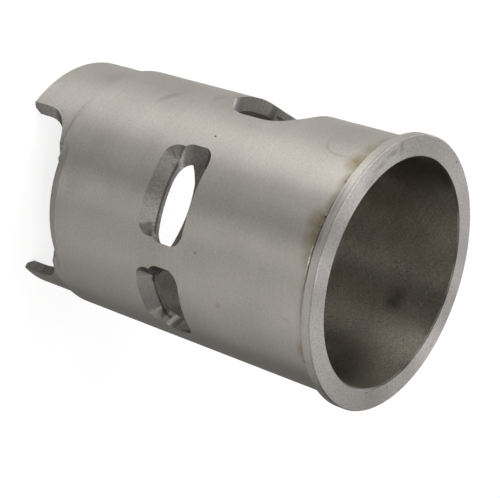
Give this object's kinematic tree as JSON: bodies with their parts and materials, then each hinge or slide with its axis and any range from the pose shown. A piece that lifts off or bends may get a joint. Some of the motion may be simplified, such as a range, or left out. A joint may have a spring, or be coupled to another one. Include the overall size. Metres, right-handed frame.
{
  "type": "cylinder liner",
  "caption": "Turned iron cylinder liner for a two-stroke engine, with a top flange, an exhaust port, mirrored transfer ports and a cut-away skirt.",
  "frame": {"origin": "on the bore axis, in the plane of the skirt's tongue ends", "axes": "+Z along the bore towards the flange, -Y through the middle of the exhaust port"},
  "size_m": [0.0836, 0.0836, 0.1247],
  "materials": {
    "liner_iron": "bare, fine-turned and honed"
  },
  "bodies": {
    "root": {"cylinder_liner": "liner_iron"}
  },
  "joints": []
}
